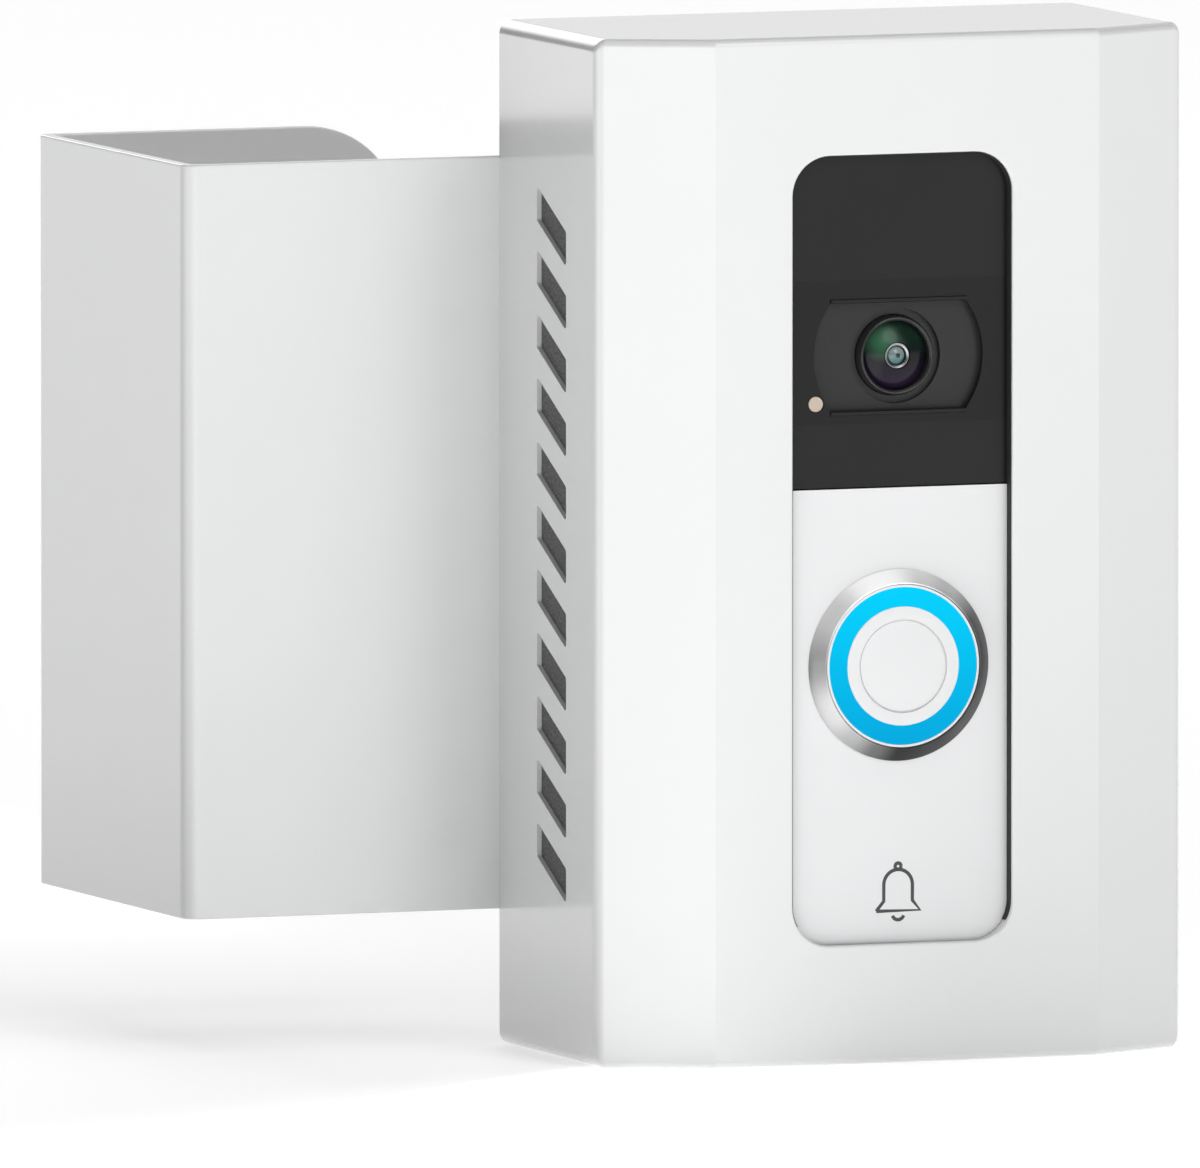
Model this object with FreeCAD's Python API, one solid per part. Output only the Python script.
import FreeCAD, Part
import math
import os

# Video doorbell in an anti-theft cover, carried by a clamp that wraps the edge of a door.
# Millimetres. The origin lies on the door's outer face, behind the middle of the cover.
# +X is to the right as a visitor sees it, +Y points into the door, +Z is up.
# Every solid is placed where it sits when the clamp is fully open and the button is released.

Vector = FreeCAD.Vector
X_AXIS = Vector(1, 0, 0)
Y_AXIS = Vector(0, 1, 0)
Z_AXIS = Vector(0, 0, 1)

# ---- Driving dimensions: clamp bracket ----
PAD = 1.0                     # rubber between steel and door
SHEET = 2.0                   # bracket and clamp plate
BEND_OUTER_R = 2.5
BEND_INNER_R = 0.5
SHEET_EDGE_R = 0.3            # blunted edges of the cut sheet
BRACKET_HALF_H = 59.6
WEB_OUTER_X = -102.3          # the web lies along the door's edge
BACK_LEG_Y = 62.45            # inner face of the leg behind the door
BACK_LEG_END_X = -40.8
BACK_LEG_CORNER_R = 16.2
TONGUE_END_X = 46.0
DOOR_MAX = 57.0               # thickest door
CLAMP_TRAVEL = 22.0

# ---- Driving dimensions: cover ----
COVER_HALF_W = 49.45
COVER_HALF_H = 81.15
COVER_DEPTH = 50.3
FLAT_HALF_W = 32.35           # the front is flat between its two long facets
FACET_DEPTH = 8.0
WALL = 1.8
MESH = 0.4
RIM_SIDE_R = 2.25             # rounding of the sides' top and bottom edges
RIM_FRONT_R = 1.2             # the same along the front and the facets
SIDE_EDGE_R = 2.3             # rounding between a side and its facet
OPEN_W = 37.0
OPEN_H = 124.6
OPEN_CORNER_R = 6.3
OPEN_EDGE_R = 0.4
SEAL = 0.15
VENT_COUNT = 11
VENT_PITCH = 10.05
VENT_SLOT_H = 5.5
VENT_SLANT = 6.4              # the front end of a slot is this much lower
VENT_BACK_Y = -19.5
VENT_FRONT_Y = -32.3
VENT_CORNER_R = 0.5
VENT_WALL = 0.8               # the wall is thinned from inside for the mesh
VENT_POCKET_HALF_H = 59.5
COVER_SCREW_X = 38.0
COVER_SCREW_Z = 50.0

# ---- Driving dimensions: doorbell ----
BELL_X = -0.8                 # middle of the doorbell and of the opening
BELL_W = 61.9
BELL_H = 128.3
BELL_T = 28.0
BELL_CORNER_R = 9.0
BELL_RECESS = 2.0             # doorbell face below the cover's front
CASE_WALL = 2.0
FRONT_WALL = 2.4
SPLIT_Z = 9.55                # top of the white faceplate, under the black window
SPLIT_GAP = 0.25
BUTTON_Z = -18.45
BUTTON_TRAVEL = 0.7
BEZEL_BASE_R = 15.15
BEZEL_TOP_R = 13.15
BEZEL_BORE_R = 12.95
BEZEL_RISE = 2.3
LIGHT_RING_R = (9.4, 12.45)
CAMERA_Z = 30.3
POCKET_R = 14.25
POCKET_HALF_H = 8.5
POCKET_DEPTH = 1.4
LENS_RING_R = 6.33
LENS_GLASS_R = 5.5
RIDGE_R = 0.35                # half-round ridges along the pocket's flats
SENSOR_DOT = (-13.87, 23.05)  # light sensor, from the bell's middle

# ---- Levels along Y, worked out from the above ----
STEEL_REAR_Y = -PAD
RIM_Y = STEEL_REAR_Y - SHEET             # steel front face and cover rim
COVER_FRONT_Y = RIM_Y - COVER_DEPTH
FACET_Y = COVER_FRONT_Y + FACET_DEPTH
PANEL_FRONT_Y = RIM_Y - 2.5
BELL_FRONT_Y = COVER_FRONT_Y + BELL_RECESS
BELL_REAR_Y = BELL_FRONT_Y + BELL_T
BRACKET_REAR_Y = BELL_REAR_Y + 5.0       # the doorbell's own mounting bracket
CASE_JOINT_Y = BELL_REAR_Y - 15.0
SEAL_JOINT_Y = CASE_JOINT_Y - 0.5
INNER_FRONT_Y = BELL_FRONT_Y + FRONT_WALL
CHASSIS_REAR_Y = INNER_FRONT_Y + 1.5
BOARD_FRONT_Y = CHASSIS_REAR_Y + 4.0
BOARD_REAR_Y = BOARD_FRONT_Y + 1.2
CASE_FLOOR_Y = BELL_REAR_Y - CASE_WALL
BUTTON_BOARD_Y = BOARD_FRONT_Y - 0.7
BUTTON_TOP_Y = BELL_FRONT_Y - BEZEL_RISE

# ---- Clamp places ----
CLAMP_X = -71.5
SCREW_Z = 24.0
PIN_Z = 44.0
SCREW_R = 2.95
NUT_BORE_R = 3.0
JOURNAL_R = 2.0
NUT_H = 5.0
KNOB_R = 9.0
KNOB_FRONT_Y = BACK_LEG_Y + SHEET + NUT_H + CLAMP_TRAVEL + 0.55
KNOB_REAR_Y = KNOB_FRONT_Y + 11.0

# ---- Fastener places around the doorbell ----
BRACKET_SCREWS = [(BELL_X + sx * 17.0, sz * 46.0) for sx in (-1, 1) for sz in (-1, 1)]
BOARD_SCREWS = [(BELL_X + sx * 24.9, sz * 54.0) for sx in (-1, 1) for sz in (-1, 1)]
COVER_SCREWS = [(sx * COVER_SCREW_X, sz * COVER_SCREW_Z) for sx in (-1, 1) for sz in (-1, 1)]


# ---- Helpers ----
def box(x0, x1, y0, y1, z0, z1):
    """A block between two corners."""
    return Part.makeBox(x1 - x0, y1 - y0, z1 - z0, Vector(x0, y0, z0))


def rod(radius, y0, y1, x, z):
    """A cylinder along Y."""
    return Part.makeCylinder(radius, y1 - y0, Vector(x, y0, z), Y_AXIS)


def ring(outer_r, inner_r, y0, y1, x, z):
    """A tube along Y."""
    return rod(outer_r, y0, y1, x, z).cut(rod(inner_r, y0 - 1, y1 + 1, x, z))


def cone(r0, r1, y0, y1, x, z):
    """A cone along Y with radius r0 at y0 and r1 at y1."""
    return Part.makeCone(r0, r1, y1 - y0, Vector(x, y0, z), Y_AXIS)


def hex_bar(across_flats, y0, y1, x, z):
    """A hexagonal bar along Y."""
    corner_r = across_flats / math.sqrt(3)
    angles = [math.radians(60 * i) for i in range(7)]
    points = [Vector(x + corner_r * math.cos(a), y0, z + corner_r * math.sin(a)) for a in angles]
    return Part.Face(Part.makePolygon(points)).extrude(Vector(0, y1 - y0, 0))


def edges_along(shape, axis, wanted=lambda middle: True):
    """The straight edges of a shape that run along an axis, where their middle is wanted."""
    found = []
    for edge in shape.Edges:
        if edge.Curve.TypeId != "Part::GeomLine":
            continue
        direction = edge.tangentAt(edge.FirstParameter)
        if abs(direction.dot(axis)) > 0.999 and wanted(edge.CenterOfMass):
            found.append(edge)
    return found


def edges_at_y(shape, y):
    """The edges of a shape that lie in one plane across Y."""
    found = []
    for edge in shape.Edges:
        bounds = edge.BoundBox
        if abs(bounds.YMin - y) < 1e-4 and abs(bounds.YMax - y) < 1e-4:
            found.append(edge)
    return found


def slab(width, height, corner_r, y0, y1, x=BELL_X, z=0.0):
    """A plate across Y with rounded corners, about the middle (x, z)."""
    block = box(x - width / 2, x + width / 2, y0, y1, z - height / 2, z + height / 2)
    return block.makeFillet(corner_r, edges_along(block, Y_AXIS))


def frame(width, height, corner_r, thickness, y0, y1, x=BELL_X, z=0.0):
    """A rounded rectangular ring across Y."""
    inner_r = max(corner_r - thickness, 0.5)
    inner = slab(width - 2 * thickness, height - 2 * thickness, inner_r, y0 - 1, y1 + 1, x, z)
    return slab(width, height, corner_r, y0, y1, x, z).cut(inner)


def csk(shank_r, head_r, head_y, tip_y, x, z):
    """A countersunk screw's envelope along Y, its head flush at head_y."""
    way = 1 if tip_y > head_y else -1
    start = Vector(x, head_y, z)
    head = Part.makeCone(head_r, shank_r, head_r - shank_r, start, Y_AXIS * way)
    return head.fuse(Part.makeCylinder(shank_r, abs(tip_y - head_y), start, Y_AXIS * way))


def csk_screw(shank_r, head_r, head_y, tip_y, x, z):
    """A countersunk screw with a hexagon socket."""
    way = 1 if tip_y > head_y else -1
    deep = sorted((head_y - way, head_y + way * (head_r - shank_r)))
    socket = hex_bar(shank_r * 1.3, deep[0], deep[1], x, z)
    return csk(shank_r, head_r, head_y, tip_y, x, z).cut(socket)


def pan_screw(shank_r, head_r, head_h, seat_y, tip_y, x, z):
    """A slotted pan-head screw along Y, its head resting on seat_y."""
    way = 1 if tip_y > seat_y else -1
    top_y = seat_y - way * head_h
    head = rod(head_r, min(top_y, seat_y), max(top_y, seat_y), x, z)
    head = head.makeFillet(head_h * 0.4, edges_at_y(head, top_y))
    shank = rod(shank_r, min(seat_y, tip_y), max(seat_y, tip_y), x, z)
    slot_y = sorted((top_y - way, top_y + way * head_h * 0.5))
    slot = box(x - head_r, x + head_r, slot_y[0], slot_y[1], z - 0.3, z + 0.3)
    return head.fuse(shank).cut(slot)


def fused(shapes):
    """One solid from several that touch."""
    return shapes[0].multiFuse(shapes[1:]).removeSplitter()


def save(name, shapes):
    """Write one node: a single solid, or a group of separate identical solids."""
    if isinstance(shapes, list):
        shape = Part.makeCompound(shapes)
    elif len(shapes.Solids) == 1:
        shape = shapes.Solids[0]
    else:
        raise ValueError(name + " has " + str(len(shapes.Solids)) + " solids")
    if not shape.isValid():
        raise ValueError(name + " is not valid")
    shape.exportStep(os.path.join("parts", name + ".step"))


# ---- Door clamp bracket ----
def door_bracket():
    """One sheet bent twice: tongue and arm in front, web on the door's edge, leg behind."""
    back_y = BACK_LEG_Y + SHEET
    half_h = BRACKET_HALF_H
    arm = box(WEB_OUTER_X, TONGUE_END_X, RIM_Y, STEEL_REAR_Y, -half_h, half_h)
    web = box(WEB_OUTER_X, WEB_OUTER_X + SHEET, RIM_Y, back_y, -half_h, half_h)
    leg = box(WEB_OUTER_X, BACK_LEG_END_X, BACK_LEG_Y, back_y, -half_h, half_h)
    leg = leg.makeFillet(BACK_LEG_CORNER_R, edges_along(leg, Y_AXIS, lambda m: m.x > -50))
    arm = arm.makeFillet(4.0, edges_along(arm, Y_AXIS, lambda m: m.x > 0))
    sheet = fused([arm, web, leg])
    inside_x = WEB_OUTER_X + SHEET
    outer = edges_along(sheet, Z_AXIS, lambda m: abs(m.x - WEB_OUTER_X) < 0.01)
    sheet = sheet.makeFillet(BEND_OUTER_R, outer)
    inner = edges_along(sheet, Z_AXIS, lambda m: abs(m.x - inside_x) < 0.01)
    sheet = sheet.makeFillet(BEND_INNER_R, inner)
    rims = [e for e in sheet.Edges if abs(e.BoundBox.ZMax - e.BoundBox.ZMin) < 1e-4
            and abs(abs(e.CenterOfMass.z) - half_h) < 1e-4]
    sheet = sheet.makeFillet(SHEET_EDGE_R, rims)
    for x, z in COVER_SCREWS:
        sheet = sheet.cut(csk(1.65, 3.15, STEEL_REAR_Y, RIM_Y - 1, x, z))
    for side in (-1, 1):
        sheet = sheet.cut(rod(SCREW_R + 0.55, BACK_LEG_Y - 1, back_y + 1, CLAMP_X, side * SCREW_Z))
        sheet = sheet.cut(rod(2.6, BACK_LEG_Y - 1, back_y + 1, CLAMP_X, side * PIN_Z))
    return sheet


def door_pad():
    """Rubber behind the cover, with holes over the cover screws."""
    pad = slab(92.0, 114.0, 6.0, STEEL_REAR_Y, 0.0, 0.0)
    for x, z in COVER_SCREWS:
        pad = pad.cut(rod(3.8, STEEL_REAR_Y - 1, 1.0, x, z))
    return pad


def arm_pad():
    """Rubber on the arm, opposite the clamp."""
    return slab(45.0, 114.0, 6.0, STEEL_REAR_Y, 0.0, -74.5)


def weld_nut(z):
    """A flanged nut welded to the outside of the rear leg."""
    seat_y = BACK_LEG_Y + SHEET
    flange = rod(7.5, seat_y, seat_y + 1.5, CLAMP_X, z)
    nut = fused([flange, hex_bar(10.0, seat_y, seat_y + NUT_H, CLAMP_X, z)])
    return nut.cut(rod(NUT_BORE_R, seat_y - 1, seat_y + NUT_H + 1, CLAMP_X, z))


# ---- Clamp ----
PLATE_FRONT_Y = DOOR_MAX + PAD
PLATE_REAR_Y = PLATE_FRONT_Y + SHEET
PLATE_W = 49.0
PLATE_H = 100.0
CLIP_R = 3.8


def clamp_plate():
    """The steel plate that the two screws push against the door."""
    plate = slab(PLATE_W, PLATE_H, 6.0, PLATE_FRONT_Y, PLATE_REAR_Y, CLAMP_X)
    for side in (-1, 1):
        hole = rod(JOURNAL_R + 0.05, PLATE_FRONT_Y - 1, PLATE_REAR_Y + 1, CLAMP_X, side * SCREW_Z)
        plate = plate.cut(hole)
    return plate


def clamp_pad():
    """The rubber face of the clamp plate, clear of the screw clips."""
    pad = slab(PLATE_W - 2, PLATE_H - 2, 5.0, DOOR_MAX, PLATE_FRONT_Y, CLAMP_X)
    for side in (-1, 1):
        hole = rod(CLIP_R + 0.7, DOOR_MAX - 1, PLATE_FRONT_Y + 1, CLAMP_X, side * SCREW_Z)
        pad = pad.cut(hole)
    return pad


def guide_pin(z):
    """A stud on the clamp plate that slides in the rear leg and stops it turning."""
    end_y = PLATE_REAR_Y + CLAMP_TRAVEL + 7.0
    pin = rod(2.5, PLATE_REAR_Y, end_y, CLAMP_X, z)
    return pin.makeChamfer(0.6, edges_at_y(pin, end_y))


def clamp_screw(z):
    """M6 screw, one millimetre of lead, whose thin end turns in the clamp plate."""
    shoulder_y = PLATE_REAR_Y + 0.05
    shank = rod(SCREW_R, shoulder_y, KNOB_REAR_Y - 3.0, CLAMP_X, z)
    journal = rod(JOURNAL_R, DOOR_MAX + 0.15, shoulder_y, CLAMP_X, z)
    groove = ring(JOURNAL_R + 1, JOURNAL_R - 0.5, PLATE_FRONT_Y - 0.75, PLATE_FRONT_Y - 0.05, CLAMP_X, z)
    return fused([shank, journal]).cut(groove)


def screw_clip(z):
    """The retaining ring in the groove of a clamp screw."""
    clip = ring(CLIP_R, JOURNAL_R - 0.45, PLATE_FRONT_Y - 0.7, PLATE_FRONT_Y - 0.1, CLAMP_X, z)
    return clip.cut(box(CLAMP_X, CLAMP_X + 6, DOOR_MAX, PLATE_FRONT_Y, z - 1.4, z + 1.4))


def knob(z):
    """A fluted hand knob, blind at its rear."""
    body = rod(KNOB_R, KNOB_FRONT_Y, KNOB_REAR_Y, CLAMP_X, z)
    body = body.makeFillet(1.2, edges_at_y(body, KNOB_REAR_Y) + edges_at_y(body, KNOB_FRONT_Y))
    for i in range(10):
        angle = math.radians(36 * i)
        x = CLAMP_X + (KNOB_R + 0.7) * math.cos(angle)
        flute = rod(1.6, KNOB_FRONT_Y - 1, KNOB_REAR_Y + 1, x, z + (KNOB_R + 0.7) * math.sin(angle))
        body = body.cut(flute)
    return body.cut(rod(SCREW_R + 0.05, KNOB_FRONT_Y - 1, KNOB_REAR_Y - 3.0, CLAMP_X, z))


# ---- Cover ----
def cover_outline(back_y):
    """The cover's section across Z: square sides, two facets and a flat front."""
    half = [(COVER_HALF_W, back_y), (COVER_HALF_W, FACET_Y), (FLAT_HALF_W, COVER_FRONT_Y)]
    outline = half + [(-x, y) for x, y in reversed(half)]
    outline.append(outline[0])
    return Part.Face(Part.makePolygon([Vector(x, y, 0) for x, y in outline]))


def cover_block():
    """The cover as a filled solid, with its outer edges rounded."""
    outline = cover_outline(RIM_Y)
    outline.translate(Vector(0, 0, -COVER_HALF_H))
    block = outline.extrude(Vector(0, 0, 2 * COVER_HALF_H))
    corners = edges_along(block, Z_AXIS, lambda m: abs(m.y - FACET_Y) < 0.01)
    return rounded_rim(block.makeFillet(SIDE_EDGE_R, corners))


def rounded_rim(block):
    """The cover's block with its top and bottom edges rounded, more along the sides."""
    work = FreeCAD.newDocument("rim")
    sharp = work.addObject("Part::Feature", "sharp")
    sharp.Shape = block
    radii = []
    for number, edge in enumerate(sharp.Shape.Edges, 1):
        bounds = edge.BoundBox
        level = abs(bounds.ZMin - bounds.ZMax) < 1e-4 and abs(abs(bounds.ZMin) - COVER_HALF_H) < 1e-4
        at_back = bounds.YMin > RIM_Y - 1e-3
        if not level or at_back:
            continue
        ends = [edge.valueAt(edge.FirstParameter), edge.valueAt(edge.LastParameter)]
        on_side = [abs(abs(end.x) - COVER_HALF_W) < 1e-4 for end in ends]
        first, last = [RIM_SIDE_R if side else RIM_FRONT_R for side in on_side]
        radii.append((number, first, last))
    rim = work.addObject("Part::Fillet", "rim")
    rim.Base = sharp
    rim.Edges = radii
    work.recompute()
    shape = rim.Shape.copy()
    FreeCAD.closeDocument(work.Name)
    return shape


def vent_slot(z):
    """One slanted louvre slot through the left wall."""
    drop = VENT_SLANT / 2
    half = VENT_SLOT_H / 2
    outside_x = -COVER_HALF_W - 1
    corners = [(VENT_BACK_Y, z + drop + half), (VENT_BACK_Y, z + drop - half)]
    corners += [(VENT_FRONT_Y, z - drop - half), (VENT_FRONT_Y, z - drop + half)]
    corners.append(corners[0])
    outline = Part.Face(Part.makePolygon([Vector(outside_x, y, z1) for y, z1 in corners]))
    slot = outline.extrude(Vector(WALL + 2, 0, 0))
    return slot.makeFillet(VENT_CORNER_R, edges_along(slot, X_AXIS))


def cover():
    """The faceted shell, open at the back, with screw bosses, the window and the vents."""
    block = cover_block()
    hollow = cover_outline(RIM_Y + 2 * WALL).makeOffset2D(-WALL, 2)
    hollow.translate(Vector(0, 0, WALL - COVER_HALF_H))
    shell = block.cut(hollow.extrude(Vector(0, 0, 2 * (COVER_HALF_H - WALL))))
    for x, z in COVER_SCREWS:
        boss = rod(3.8, COVER_FRONT_Y - 1, PANEL_FRONT_Y, x, z).common(block)
        shell = shell.fuse(boss)
    for x, z in COVER_SCREWS:
        shell = shell.cut(rod(2.35, PANEL_FRONT_Y - 6.2, PANEL_FRONT_Y + 1, x, z))
        shell = shell.cut(rod(1.6, PANEL_FRONT_Y - 16.0, PANEL_FRONT_Y, x, z))
    opening = slab(OPEN_W, OPEN_H, OPEN_CORNER_R, COVER_FRONT_Y - 1, COVER_FRONT_Y + WALL + 1)
    shell = shell.cut(opening)
    lip = [e for e in edges_at_y(shell, COVER_FRONT_Y) if abs(e.CenterOfMass.x - BELL_X) < OPEN_W * 0.6
           and abs(e.CenterOfMass.z) < OPEN_H * 0.6]
    shell = shell.makeFillet(OPEN_EDGE_R, lip)
    middle = (VENT_COUNT - 1) / 2
    inside_x = WALL - COVER_HALF_W
    shell = shell.cut(box(VENT_WALL - COVER_HALF_W, inside_x + 0.5, VENT_FRONT_Y - 2.5, VENT_BACK_Y + 2.5,
                          -VENT_POCKET_HALF_H, VENT_POCKET_HALF_H))
    for i in range(VENT_COUNT):
        shell = shell.cut(vent_slot((i - middle) * VENT_PITCH))
    return shell


def opening_seal():
    """The black gasket: a thin lining in the opening, open at its foot, and a flange behind."""
    lining = frame(OPEN_W, OPEN_H, OPEN_CORNER_R, SEAL, COVER_FRONT_Y + OPEN_EDGE_R + 0.05, BELL_FRONT_Y)
    cover_inside_y = COVER_FRONT_Y + WALL
    flange = frame(OPEN_W + 4, OPEN_H + 2.6, OPEN_CORNER_R + 1, 3.0, cover_inside_y, BELL_FRONT_Y)
    inner = slab(OPEN_W - 2 * SEAL, OPEN_H - 2 * SEAL, OPEN_CORNER_R - SEAL, COVER_FRONT_Y, 0.0)
    foot = slab(OPEN_W, OPEN_H, OPEN_CORNER_R, COVER_FRONT_Y, 0.0)
    foot = foot.common(half_space(-80.0, OPEN_CORNER_R * 0.5 - OPEN_H / 2))
    return fused([lining, flange]).cut(inner).cut(foot)


def acoustic_mesh():
    """Woven mesh glued into the thinned wall behind the vents."""
    front_x = VENT_WALL - COVER_HALF_W
    half_h = VENT_POCKET_HALF_H - 0.5
    return box(front_x, front_x + MESH, VENT_FRONT_Y - 2, VENT_BACK_Y + 2, -half_h, half_h)


def back_panel():
    """The plate that closes the cover from behind and carries the pedestal."""
    gap = 0.3
    panel = slab(2 * (COVER_HALF_W - WALL - gap), 2 * (COVER_HALF_H - WALL - gap), 1.0,
                 PANEL_FRONT_Y, RIM_Y, 0.0)
    for x, z in COVER_SCREWS:
        panel = panel.cut(rod(1.65, PANEL_FRONT_Y - 1, RIM_Y + 1, x, z))
    for x, z in BRACKET_SCREWS:
        panel = panel.cut(csk(1.5, 2.9, RIM_Y, PANEL_FRONT_Y - 1, x, z))
    return panel


def cover_insert(x, z):
    """A threaded insert in a cover boss."""
    return ring(2.3, 1.5, PANEL_FRONT_Y - 6.0, PANEL_FRONT_Y, x, z)


def pedestal():
    """The open frame that lifts the doorbell up to the opening."""
    parts = [frame(58.0, 124.0, 4.0, 2.0, BRACKET_REAR_Y, PANEL_FRONT_Y)]
    for side in (-1, 1):
        z = side * 46.0
        parts.append(box(BELL_X - 27.5, BELL_X + 27.5, BRACKET_REAR_Y, PANEL_FRONT_Y, z - 1.2, z + 1.2))
    for x, z in BRACKET_SCREWS:
        parts.append(rod(3.6, BRACKET_REAR_Y, PANEL_FRONT_Y, x, z))
    body = fused(parts)
    for x, z in BRACKET_SCREWS:
        body = body.cut(rod(1.45, BRACKET_REAR_Y - 1, PANEL_FRONT_Y + 1, x, z))
    return body


# ---- Doorbell housing ----
def bell_bracket():
    """The doorbell's own wall bracket, open in the middle for its terminals."""
    plate = slab(46.0, 112.0, 6.0, BELL_REAR_Y, BRACKET_REAR_Y)
    plate = plate.cut(slab(26.0, 55.0, 3.0, BELL_REAR_Y - 1, BRACKET_REAR_Y + 1, BELL_X, 22.0))
    for x, z in BRACKET_SCREWS:
        plate = plate.cut(csk(1.5, 3.1, BELL_REAR_Y, BRACKET_REAR_Y + 1, x, z))
    return plate


SECURITY_Y = BELL_REAR_Y - 4.7
TERMINALS = [(BELL_X + sx * 7.0, 24.0) for sx in (-1, 1)]


def bell_rear_case():
    """The black tub at the back of the doorbell, with posts for the main board."""
    tub = slab(BELL_W, BELL_H, BELL_CORNER_R, CASE_JOINT_Y, BELL_REAR_Y)
    tub = tub.makeFillet(2.0, edges_at_y(tub, BELL_REAR_Y))
    hollow = slab(BELL_W - 2 * CASE_WALL, BELL_H - 2 * CASE_WALL, BELL_CORNER_R - CASE_WALL,
                  CASE_JOINT_Y - 1, CASE_FLOOR_Y)
    tub = tub.cut(hollow)
    posts = [rod(2.4, BOARD_REAR_Y, CASE_FLOOR_Y + 0.5, x, z) for x, z in BOARD_SCREWS]
    tub = fused([tub] + posts)
    for x, z in BOARD_SCREWS:
        tub = tub.cut(rod(0.9, BOARD_REAR_Y - 1, BOARD_REAR_Y + 7, x, z))
    for x, z in TERMINALS:
        tub = tub.cut(rod(1.6, CASE_FLOOR_Y - 1, BELL_REAR_Y + 1, x, z))
    bottom_z = -BELL_H / 2
    start = Vector(BELL_X, SECURITY_Y, bottom_z - 1)
    return tub.cut(Part.makeCylinder(1.5, CASE_WALL + 2, start, Z_AXIS))


def bell_front_shell():
    """The front shell of the doorbell before it is parted into window and faceplate."""
    shell = slab(BELL_W, BELL_H, BELL_CORNER_R, BELL_FRONT_Y, SEAL_JOINT_Y)
    shell = shell.makeFillet(1.5, edges_at_y(shell, BELL_FRONT_Y))
    hollow = slab(BELL_W - 2 * CASE_WALL, BELL_H - 2 * CASE_WALL, BELL_CORNER_R - CASE_WALL,
                  INNER_FRONT_Y, SEAL_JOINT_Y + 1)
    return shell.cut(hollow)


def half_space(z0, z1):
    """A block that covers the doorbell between two heights."""
    return box(-40.0, 40.0, -60.0, 0.0, z0, z1)


def camera_pocket():
    """The shallow dish around the lens: a circle cut off flat above and below."""
    dish = rod(POCKET_R, BELL_FRONT_Y - 1, BELL_FRONT_Y + POCKET_DEPTH, BELL_X, CAMERA_Z)
    return dish.common(half_space(CAMERA_Z - POCKET_HALF_H, CAMERA_Z + POCKET_HALF_H))


def bell_front_window():
    """The gloss black upper window, with the camera pocket."""
    window = bell_front_shell().common(half_space(SPLIT_Z + SPLIT_GAP, 80.0))
    window = window.cut(camera_pocket())
    ridge_half = math.sqrt(POCKET_R ** 2 - POCKET_HALF_H ** 2)
    for side in (-1, 1):
        start = Vector(BELL_X - ridge_half, BELL_FRONT_Y, CAMERA_Z + side * (POCKET_HALF_H + RIDGE_R))
        window = window.fuse(Part.makeCylinder(RIDGE_R, 2 * ridge_half, start, X_AXIS))
    window = window.cut(rod(7.6, BELL_FRONT_Y - 1, INNER_FRONT_Y + 1, BELL_X, CAMERA_Z))
    dot_x, dot_z = SENSOR_DOT
    return window.cut(rod(1.3, BELL_FRONT_Y - 1, INNER_FRONT_Y + 1, BELL_X + dot_x, dot_z))


def bell_faceplate():
    """The white lower faceplate, with the button's hole."""
    plate = bell_front_shell().common(half_space(-80.0, SPLIT_Z))
    return plate.cut(rod(14.0, BELL_FRONT_Y - 1, INNER_FRONT_Y + 1, BELL_X, BUTTON_Z))


def bell_chassis():
    """The inner plate that stiffens the front and locates button and camera."""
    plate = slab(57.5, 123.9, 6.8, INNER_FRONT_Y, CHASSIS_REAR_Y)
    holes = [(14.0, 0.0, BUTTON_Z), (8.5, 0.0, CAMERA_Z), (1.4, SENSOR_DOT[0], SENSOR_DOT[1])]
    holes += [(3.0, -21.0, 46.0), (3.0, 21.0, 46.0)]
    for radius, x, z in holes:
        plate = plate.cut(rod(radius, INNER_FRONT_Y - 1, CHASSIS_REAR_Y + 1, BELL_X + x, z))
    return plate


def case_seal():
    """The gasket between the rear case and the front shell."""
    return frame(BELL_W - 0.8, BELL_H - 0.8, BELL_CORNER_R - 0.4, 1.4, SEAL_JOINT_Y, CASE_JOINT_Y)


def security_screw():
    """The tamper-proof screw in the underside of the doorbell."""
    bottom_z = -BELL_H / 2
    head = Part.makeCylinder(2.6, 1.8, Vector(BELL_X, SECURITY_Y, bottom_z - 1.8), Z_AXIS)
    shank = Part.makeCylinder(1.4, 4.0, Vector(BELL_X, SECURITY_Y, bottom_z), Z_AXIS)
    pin_socket = Part.makeCylinder(1.1, 1.2, Vector(BELL_X, SECURITY_Y, bottom_z - 1.8), Z_AXIS)
    centre_pin = Part.makeCylinder(0.4, 1.2, Vector(BELL_X, SECURITY_Y, bottom_z - 1.8), Z_AXIS)
    return fused([head, shank]).cut(pin_socket.cut(centre_pin))


# ---- Button ----
STEM_END_Y = BUTTON_BOARD_Y - 1.15 - BUTTON_TRAVEL - 0.05


def button_bezel():
    """The conical metal ring around the button, with a skirt through the faceplate."""
    rise = cone(BEZEL_TOP_R, BEZEL_BASE_R, BUTTON_TOP_Y, BELL_FRONT_Y, BELL_X, BUTTON_Z)
    skirt = rod(13.9, BELL_FRONT_Y, CHASSIS_REAR_Y + 0.5, BELL_X, BUTTON_Z)
    bore = rod(BEZEL_BORE_R, BUTTON_TOP_Y - 1, CHASSIS_REAR_Y + 1.5, BELL_X, BUTTON_Z)
    return fused([rise, skirt]).cut(bore)


def button_cap():
    """The white cap, with a channel for the light ring, a fine circle and a skirt."""
    top_y = BUTTON_TOP_Y + 0.1
    cap = ring(12.85, 11.9, top_y + 3, INNER_FRONT_Y + 0.9, BELL_X, BUTTON_Z)
    cap = fused([rod(12.85, top_y, top_y + 3, BELL_X, BUTTON_Z), cap])
    channel = ring(LIGHT_RING_R[1], LIGHT_RING_R[0], top_y - 1, top_y + 1.2, BELL_X, BUTTON_Z)
    circle = ring(7.45, 7.25, top_y - 1, top_y + 0.12, BELL_X, BUTTON_Z)
    return cap.cut(channel).cut(circle)


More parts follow.
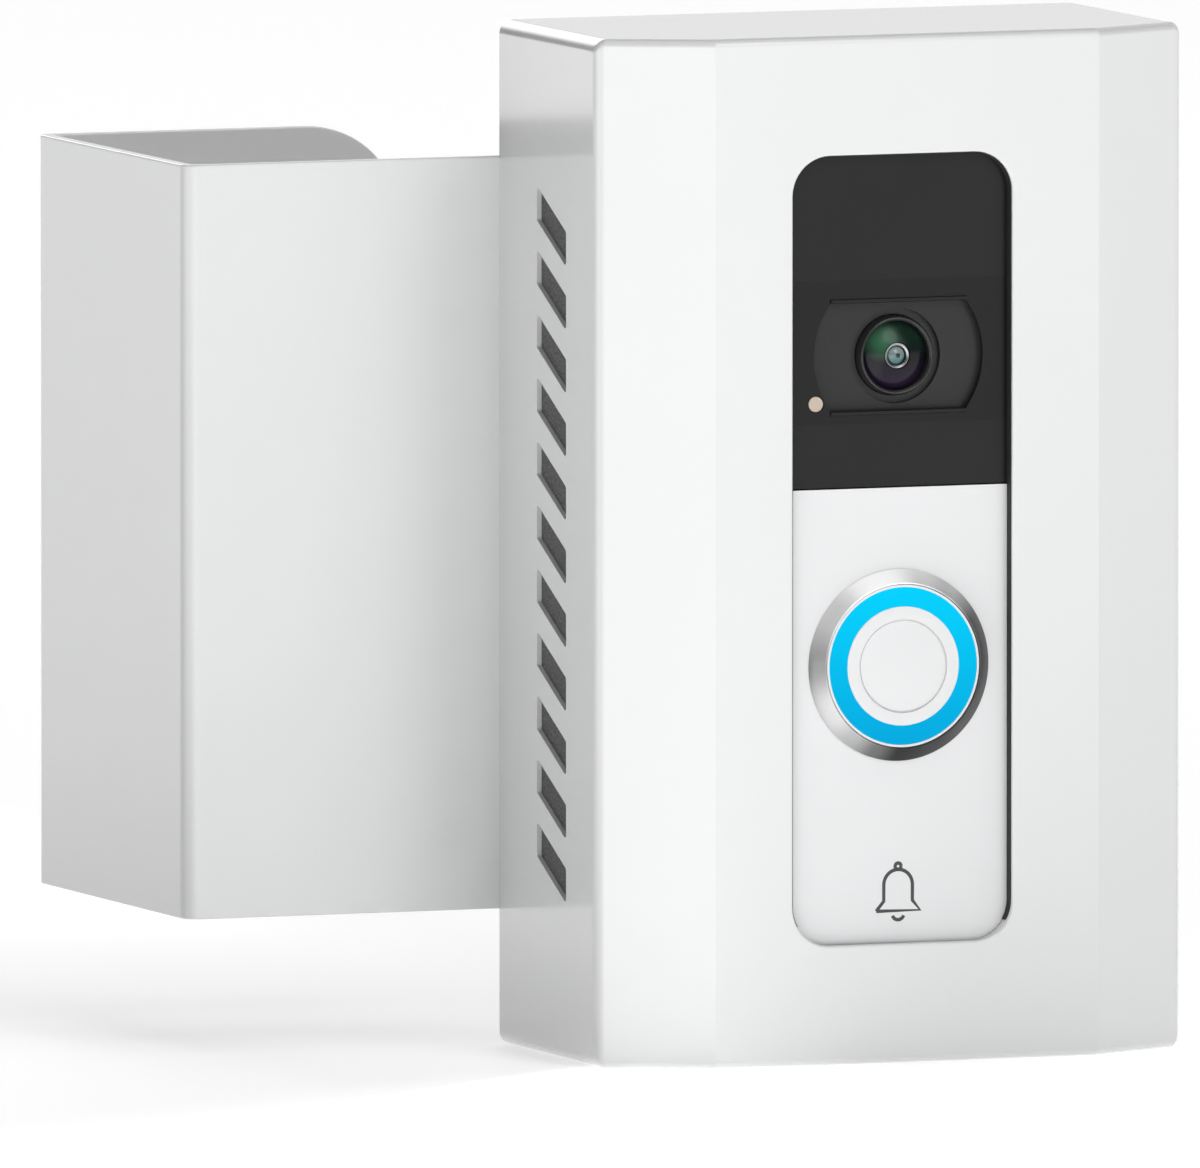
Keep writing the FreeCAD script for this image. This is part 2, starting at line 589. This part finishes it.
def light_ring():
    """The blue diffuser in the cap's channel."""
    top_y = BUTTON_TOP_Y + 0.1
    return ring(LIGHT_RING_R[1], LIGHT_RING_R[0], top_y, top_y + 1.2, BELL_X, BUTTON_Z)


def tact_stem():
    """The post behind the cap that presses the switch."""
    return rod(2.0, BUTTON_TOP_Y + 3.1, STEM_END_Y, BELL_X, BUTTON_Z)


def button_gasket():
    """The silicone ring that seals behind the button."""
    start_y = CHASSIS_REAR_Y + 0.5
    return ring(13.9, 9.5, start_y, start_y + 0.8, BELL_X, BUTTON_Z)


def tact_switch():
    """The switch under the stem."""
    body = box(BELL_X - 3, BELL_X + 3, BUTTON_BOARD_Y - 0.8, BUTTON_BOARD_Y, BUTTON_Z - 3, BUTTON_Z + 3)
    return fused([body, rod(1.5, BUTTON_BOARD_Y - 1.15, BUTTON_BOARD_Y - 0.8, BELL_X, BUTTON_Z)])


def ring_led(index):
    """One of the LEDs under the light ring."""
    angle = math.radians(30 * index)
    x = BELL_X + 10.9 * math.cos(angle)
    z = BUTTON_Z + 10.9 * math.sin(angle)
    return box(x - 0.8, x + 0.8, BUTTON_BOARD_Y - 0.8, BUTTON_BOARD_Y, z - 0.8, z + 0.8)


# ---- Boards and battery ----
def main_board():
    """The main circuit board, with a hole for the lens barrel."""
    board = slab(54.6, 120.0, 4.0, BOARD_FRONT_Y, BOARD_REAR_Y)
    board = board.cut(rod(7.0, BOARD_FRONT_Y - 1, BOARD_REAR_Y + 1, BELL_X, CAMERA_Z))
    for x, z in BOARD_SCREWS:
        board = board.cut(rod(1.2, BOARD_FRONT_Y - 1, BOARD_REAR_Y + 1, x, z))
    return board


def chip(width, height, thickness, x, z):
    """A component on the front of the main board."""
    return slab(width, height, 0.3, BOARD_FRONT_Y - thickness, BOARD_FRONT_Y, BELL_X + x, z)


BATTERY_W = 43.0
BATTERY_Z = (-58.0, 10.0)
BATTERY_Y = (BOARD_REAR_Y + 0.8, BOARD_REAR_Y + 14.8)
LATCH_Y = (BATTERY_Y[0] + 4.4, BATTERY_Y[0] + 10.4)


def battery_pack():
    """The removable pack, recessed at its foot for the release latch."""
    middle_z = sum(BATTERY_Z) / 2
    pack = slab(BATTERY_W, BATTERY_Z[1] - BATTERY_Z[0], 3.0, BATTERY_Y[0], BATTERY_Y[1], BELL_X, middle_z)
    foot_z = BATTERY_Z[0]
    return pack.cut(box(BELL_X - 4.3, BELL_X + 4.3, LATCH_Y[0] + 0.2, LATCH_Y[1] - 0.2,
                        foot_z - 1, foot_z + 3.8))


def battery_latch():
    """The sliding tab that releases the battery."""
    foot_z = BATTERY_Z[0]
    tab = box(BELL_X - 7, BELL_X + 7, LATCH_Y[0], LATCH_Y[1], foot_z - 3.6, foot_z - 1.8)
    tongue = box(BELL_X - 4, BELL_X + 4, LATCH_Y[0] + 0.6, LATCH_Y[1] - 0.6, foot_z - 1.8, foot_z + 2.0)
    return fused([tab, tongue])


def battery_contact(x):
    """A sprung contact between the main board and the top of the battery."""
    top_z = BATTERY_Z[1]
    return box(BELL_X + x - 0.8, BELL_X + x + 0.8, BOARD_REAR_Y, BOARD_REAR_Y + 6, top_z, top_z + 1.8)


# ---- Camera ----
def camera_shroud():
    """The black collar behind the pocket."""
    return ring(8.4, 6.45, INNER_FRONT_Y, BOARD_FRONT_Y - 0.6, BELL_X, CAMERA_Z)


def lens_ring():
    """The ring that holds the front glass."""
    front_y = BELL_FRONT_Y + 0.5
    body = rod(LENS_RING_R, front_y, front_y + 3.3, BELL_X, CAMERA_Z)
    body = body.makeChamfer(0.5, edges_at_y(body, front_y))
    return body.cut(rod(LENS_GLASS_R + 0.05, front_y - 1, front_y + 4.3, BELL_X, CAMERA_Z))


def lens_front_glass():
    """The domed front element."""
    crest_y = BELL_FRONT_Y + 0.15
    dome_r = 9.0
    dome = Part.makeSphere(dome_r, Vector(BELL_X, crest_y + dome_r, CAMERA_Z))
    return dome.common(rod(LENS_GLASS_R, crest_y - 1, crest_y + 2.6, BELL_X, CAMERA_Z))


def lens_inner_ring():
    """The aperture ring behind the front element."""
    start_y = BELL_FRONT_Y + 2.85
    return ring(4.9, 2.45, start_y, start_y + 0.5, BELL_X, CAMERA_Z)


def lens_inner_element():
    """The small bright inner lens."""
    start_y = BELL_FRONT_Y + 2.95
    ball = Part.makeSphere(2.9, Vector(BELL_X, start_y + 2.9, CAMERA_Z))
    return ball.common(rod(2.4, start_y - 1, start_y + 1.0, BELL_X, CAMERA_Z))


def lens_barrel():
    """The barrel and its square holder on the camera board."""
    barrel_y = BELL_FRONT_Y + 4.0
    holder_y = BOARD_REAR_Y + 4.0
    board_y = holder_y + 2.4
    barrel = rod(6.2, barrel_y, holder_y, BELL_X, CAMERA_Z)
    holder = slab(16.0, 16.0, 1.5, holder_y, board_y, BELL_X, CAMERA_Z)
    bore = rod(4.0, barrel_y - 1, board_y + 1, BELL_X, CAMERA_Z)
    chamber = slab(10.0, 10.0, 1.0, board_y - 1.2, board_y + 1, BELL_X, CAMERA_Z)
    return fused([barrel, holder]).cut(bore).cut(chamber)


def camera_board():
    """The small board behind the lens."""
    board_y = BOARD_REAR_Y + 6.4
    return slab(26.0, 26.0, 2.0, board_y, board_y + 1.0, BELL_X, CAMERA_Z)


def image_sensor():
    """The image sensor in the holder's chamber."""
    board_y = BOARD_REAR_Y + 6.4
    return slab(8.0, 6.0, 0.3, board_y - 0.9, board_y, BELL_X, CAMERA_Z)


def light_sensor():
    """The light pipe of the light sensor."""
    dot_x, dot_z = SENSOR_DOT
    return rod(1.2, BELL_FRONT_Y + 0.15, BOARD_FRONT_Y, BELL_X + dot_x, dot_z)


def ir_led(side):
    """One infrared LED with a domed tip."""
    x = BELL_X + side * 21.0
    tip = Part.makeSphere(2.4, Vector(x, BOARD_FRONT_Y - 1.0, 46.0))
    tip = tip.common(box(x - 3, x + 3, BOARD_FRONT_Y - 3.4, BOARD_FRONT_Y - 1.0, 43.0, 49.0))
    return fused([rod(2.4, BOARD_FRONT_Y - 1.0, BOARD_FRONT_Y, x, 46.0), tip])


def speaker():
    """The speaker capsule behind the camera board."""
    body = slab(28.0, 36.0, 4.0, CASE_FLOOR_Y - 8.0, CASE_FLOOR_Y - 0.6, BELL_X, 40.0)
    return body.cut(rod(10.0, CASE_FLOOR_Y - 9.0, CASE_FLOOR_Y - 7.2, BELL_X, 40.0))


def antenna():
    """The foil antenna on the case's ceiling."""
    top_z = BELL_H / 2 - CASE_WALL
    return box(BELL_X - 18, BELL_X + 18, CASE_JOINT_Y + 2, CASE_FLOOR_Y - 2, top_z - 0.3, top_z)


# ---- Write every node ----
os.makedirs("parts", exist_ok=True)

save("door_bracket", door_bracket())
save("door_pad", door_pad())
save("arm_pad", arm_pad())
save("weld_nuts", [weld_nut(side * SCREW_Z) for side in (-1, 1)])
save("clamp_plate", clamp_plate())
save("clamp_pad", clamp_pad())
save("guide_pins", [guide_pin(side * PIN_Z) for side in (-1, 1)])
for place, side in (("upper", 1), ("lower", -1)):
    save("clamp_screw_" + place, clamp_screw(side * SCREW_Z))
    save("screw_clip_" + place, screw_clip(side * SCREW_Z))
    save("knob_" + place, knob(side * SCREW_Z))

save("cover", cover())
save("opening_seal", opening_seal())
save("acoustic_mesh", acoustic_mesh())
save("back_panel", back_panel())
save("cover_inserts", [cover_insert(x, z) for x, z in COVER_SCREWS])
save("cover_screws", [csk_screw(1.45, 2.95, STEEL_REAR_Y, PANEL_FRONT_Y - 12, x, z)
                      for x, z in COVER_SCREWS])
save("panel_screws", [csk_screw(1.4, 2.8, RIM_Y, PANEL_FRONT_Y - 5.0, x, z) for x, z in BRACKET_SCREWS])
save("pedestal", pedestal())

save("bell_bracket", bell_bracket())
save("bell_bracket_screws", [csk_screw(1.4, 2.9, BELL_REAR_Y, BRACKET_REAR_Y + 6.5, x, z)
                             for x, z in BRACKET_SCREWS])
save("bell_rear_case", bell_rear_case())
save("bell_front_window", bell_front_window())
save("bell_faceplate", bell_faceplate())
save("bell_chassis", bell_chassis())
save("case_seal", case_seal())
save("security_screw", security_screw())
save("terminal_screws", [pan_screw(1.5, 3.0, 1.9, BELL_REAR_Y, CASE_FLOOR_Y - 0.5, x, z)
                         for x, z in TERMINALS])

save("button_bezel", button_bezel())
save("button_cap", button_cap())
save("light_ring", light_ring())
save("tact_stem", tact_stem())
save("button_gasket", button_gasket())
save("tact_switch", tact_switch())
save("button_board", rod(13.5, BUTTON_BOARD_Y, BOARD_FRONT_Y, BELL_X, BUTTON_Z))
save("ring_leds", [ring_led(i) for i in range(12)])

save("main_board", main_board())
save("main_chips", [chip(9.0, 9.0, 1.0, 10.0, 10.0), chip(7.0, 7.0, 0.9, -12.0, 8.0)])
save("board_screws", [pan_screw(0.85, 1.9, 1.3, BOARD_FRONT_Y, BOARD_REAR_Y + 6, x, z)
                      for x, z in BOARD_SCREWS])
save("microphone", chip(3.8, 3.0, 1.1, 19.0, -50.0))
save("battery_pack", battery_pack())
save("battery_latch", battery_latch())
save("battery_contacts", [battery_contact(x) for x in (-5.0, 0.0, 5.0)])
save("antenna", antenna())
save("speaker", speaker())

save("camera_shroud", camera_shroud())
save("lens_ring", lens_ring())
save("lens_front_glass", lens_front_glass())
save("lens_inner_ring", lens_inner_ring())
save("lens_inner_element", lens_inner_element())
save("lens_barrel", lens_barrel())
save("camera_board", camera_board())
save("image_sensor", image_sensor())
save("light_sensor", light_sensor())
save("ir_leds", [ir_led(side) for side in (-1, 1)])
